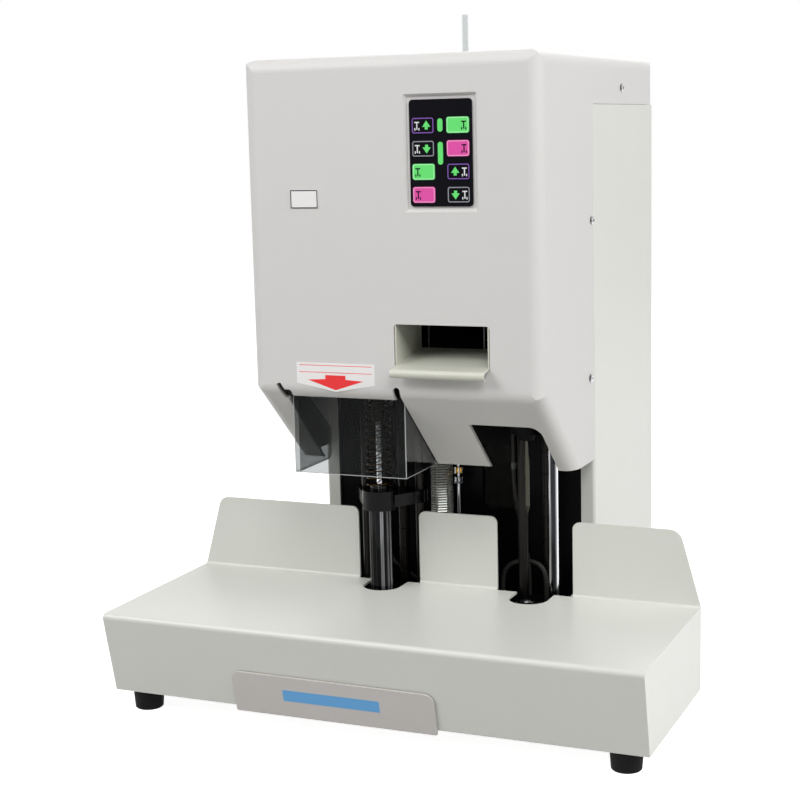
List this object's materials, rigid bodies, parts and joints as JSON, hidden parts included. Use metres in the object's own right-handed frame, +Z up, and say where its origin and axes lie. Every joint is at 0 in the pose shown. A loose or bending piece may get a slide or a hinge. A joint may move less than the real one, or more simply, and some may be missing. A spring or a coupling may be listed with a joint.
{
  "type": "document riveting machine",
  "caption": "Desk machine that drills a paper stack under a sprung foot and closes a heated plastic tube rivet in it, with chip drawer, clear guard and key panel.",
  "frame": {"origin": "centre of the overall box at the level of the feet's undersides", "axes": "+X to the operator's right, +Y from the table towards the rear panel, +Z up"},
  "size_m": [0.48, 0.4302, 0.5937],
  "materials": {
    "powder_coat": "fine textured powder coat",
    "moulded_casing": "matte",
    "drawer_paint": "satin",
    "galvanised": "satin",
    "blackened": "satin black",
    "bright_steel": "polished",
    "dark_steel": "oiled",
    "brass_metal": "bright",
    "rubber_black": "matte",
    "clear_acrylic": "clear",
    "panel_dark": "gloss",
    "panel_green": "gloss",
    "panel_pink": "gloss",
    "plastic_black": "matte",
    "plastic_red": "gloss",
    "plastic_white": "matte",
    "board_green": "satin",
    "chute_paint": "satin"
  },
  "bodies": {
    "machine": {"base_table": "powder_coat", "base_plate": "powder_coat", "rubber_feet": "rubber_black", "foot_screws": "galvanised", "drawer_runners": "galvanised", "column_shell": "powder_coat", "rear_panel": "powder_coat", "power_inlet": "plastic_black", "front_cover": "moulded_casing", "case_screws": "bright_steel", "panel_film": "panel_dark", "panel_lamps": "panel_green", "guard_pins": "galvanised", "tube_chute": "chute_paint", "frame_bed": "blackened", "back_plate": "blackened", "top_plate": "blackened", "guide_rods": "blackened", "rivet_post": "bright_steel", "lift_motors": "blackened", "pad_seat": "galvanised", "drill_pad": "plastic_white", "buffer_spring": "bright_steel", "spring_rod": "bright_steel", "stop_stud": "bright_steel", "lower_die": "bright_steel", "die_heater": "blackened", "feed_tube": "clear_acrylic", "tube_guide": "plastic_white", "cutter_housing": "galvanised", "feed_motor": "blackened", "control_board": "board_green", "transformer": "galvanised"},
    "drawer": {"drawer_tray": "galvanised", "drawer_front": "drawer_paint"},
    "guard": {"clear_guard": "clear_acrylic"},
    "drill_head": {"drill_carriage": "blackened", "drill_nut": "brass_metal", "drill_motor": "galvanised", "foot_spring": "dark_steel"},
    "spindle": {"drill_chuck": "bright_steel", "hollow_drill": "bright_steel"},
    "foot": {"press_foot": "blackened"},
    "drill_lead_screw": {"drill_screw": "dark_steel"},
    "rivet_head": {"rivet_carriage": "blackened", "rivet_nut": "brass_metal", "upper_heater": "blackened", "rivet_needle": "bright_steel"},
    "rivet_lead_screw": {"rivet_screw": "dark_steel"},
    "rocker": {"power_rocker": "plastic_red"},
    "roller": {"feed_roller": "rubber_black"},
    "blade": {"cutter_blade": "bright_steel"},
    "key_drill_up": {"key_drill_up": "panel_dark"},
    "key_drill_down": {"key_drill_down": "panel_dark"},
    "key_drill_auto": {"key_drill_auto": "panel_green"},
    "key_drill_reset": {"key_drill_reset": "panel_pink"},
    "key_rivet_press": {"key_rivet_press": "panel_green"},
    "key_rivet_reset": {"key_rivet_reset": "panel_pink"},
    "key_rivet_up": {"key_rivet_up": "panel_dark"},
    "key_rivet_down": {"key_rivet_down": "panel_dark"}
  },
  "joints": [
    {"name": "drawer_slide", "type": "slide", "parent": "machine", "child": "drawer", "axis": [0, -1, 0], "range_m": [0, 0.125]},
    {"name": "guard_hinge", "type": "hinge", "parent": "machine", "child": "guard", "pos_m": [-0.048, -0.11376, 0.2858], "axis": [-1, 0, 0], "range_deg": [0, 40]},
    {"name": "drill_lift", "type": "slide", "parent": "machine", "child": "drill_head", "axis": [0, 0, 1], "range_m": [0, 0.076]},
    {"name": "drill_screw_turn", "type": "hinge", "parent": "machine", "child": "drill_lead_screw", "pos_m": [-0.0465, -0.00116, 0.2908], "axis": [0, 0, 1], "range_deg": [-5, 2760]},
    {"name": "spindle_turn", "type": "hinge", "parent": "drill_head", "child": "spindle", "pos_m": [-0.0465, -0.05416, 0.1908], "axis": [0, 0, 1], "continuous": true},
    {"name": "foot_slide", "type": "slide", "parent": "drill_head", "child": "foot", "axis": [0, 0, 1], "range_m": [0, 0.056], "stiffness_N_per_m": 300, "springref_m": -0.03, "deforming": ["foot_spring"]},
    {"name": "rivet_lift", "type": "slide", "parent": "machine", "child": "rivet_head", "axis": [0, 0, -1], "range_m": [0, 0.13]},
    {"name": "rivet_screw_turn", "type": "hinge", "parent": "machine", "child": "rivet_lead_screw", "pos_m": [0.093, -0.00116, 0.2908], "axis": [0, 0, 1], "range_deg": [-5, 4700]},
    {"name": "key_drill_up_press", "type": "slide", "parent": "machine", "child": "key_drill_up", "axis": [0, 1, 0], "range_m": [0, 0.0005], "stiffness_N_per_m": 1500, "springref_m": -0.0005},
    {"name": "key_drill_down_press", "type": "slide", "parent": "machine", "child": "key_drill_down", "axis": [0, 1, 0], "range_m": [0, 0.0005], "stiffness_N_per_m": 1500, "springref_m": -0.0005},
    {"name": "key_drill_auto_press", "type": "slide", "parent": "machine", "child": "key_drill_auto", "axis": [0, 1, 0], "range_m": [0, 0.0005], "stiffness_N_per_m": 1500, "springref_m": -0.0005},
    {"name": "key_drill_reset_press", "type": "slide", "parent": "machine", "child": "key_drill_reset", "axis": [0, 1, 0], "range_m": [0, 0.0005], "stiffness_N_per_m": 1500, "springref_m": -0.0005},
    {"name": "key_rivet_press_press", "type": "slide", "parent": "machine", "child": "key_rivet_press", "axis": [0, 1, 0], "range_m": [0, 0.0005], "stiffness_N_per_m": 1500, "springref_m": -0.0005},
    {"name": "key_rivet_reset_press", "type": "slide", "parent": "machine", "child": "key_rivet_reset", "axis": [0, 1, 0], "range_m": [0, 0.0005], "stiffness_N_per_m": 1500, "springref_m": -0.0005},
    {"name": "key_rivet_up_press", "type": "slide", "parent": "machine", "child": "key_rivet_up", "axis": [0, 1, 0], "range_m": [0, 0.0005], "stiffness_N_per_m": 1500, "springref_m": -0.0005},
    {"name": "key_rivet_down_press", "type": "slide", "parent": "machine", "child": "key_rivet_down", "axis": [0, 1, 0], "range_m": [0, 0.0005], "stiffness_N_per_m": 1500, "springref_m": -0.0005},
    {"name": "rocker_tilt", "type": "hinge", "parent": "machine", "child": "rocker", "pos_m": [0.08, 0.20954, 0.1258], "axis": [-1, 0, 0], "range_deg": [0, 12]},
    {"name": "roller_turn", "type": "hinge", "parent": "machine", "child": "roller", "pos_m": [0.018, -0.01816, 0.4278], "axis": [0, 1, 0], "continuous": true},
    {"name": "blade_slide", "type": "slide", "parent": "machine", "child": "blade", "axis": [1, 0, 0], "range_m": [0, 0.009], "stiffness_N_per_m": 200, "springref_m": -0.003}
  ],
  "couplings": [
    {"joint": "drill_screw_turn", "follows": "drill_lift", "rad_per_m": 628.32},
    {"joint": "rivet_screw_turn", "follows": "rivet_lift", "rad_per_m": 628.32}
  ]
}
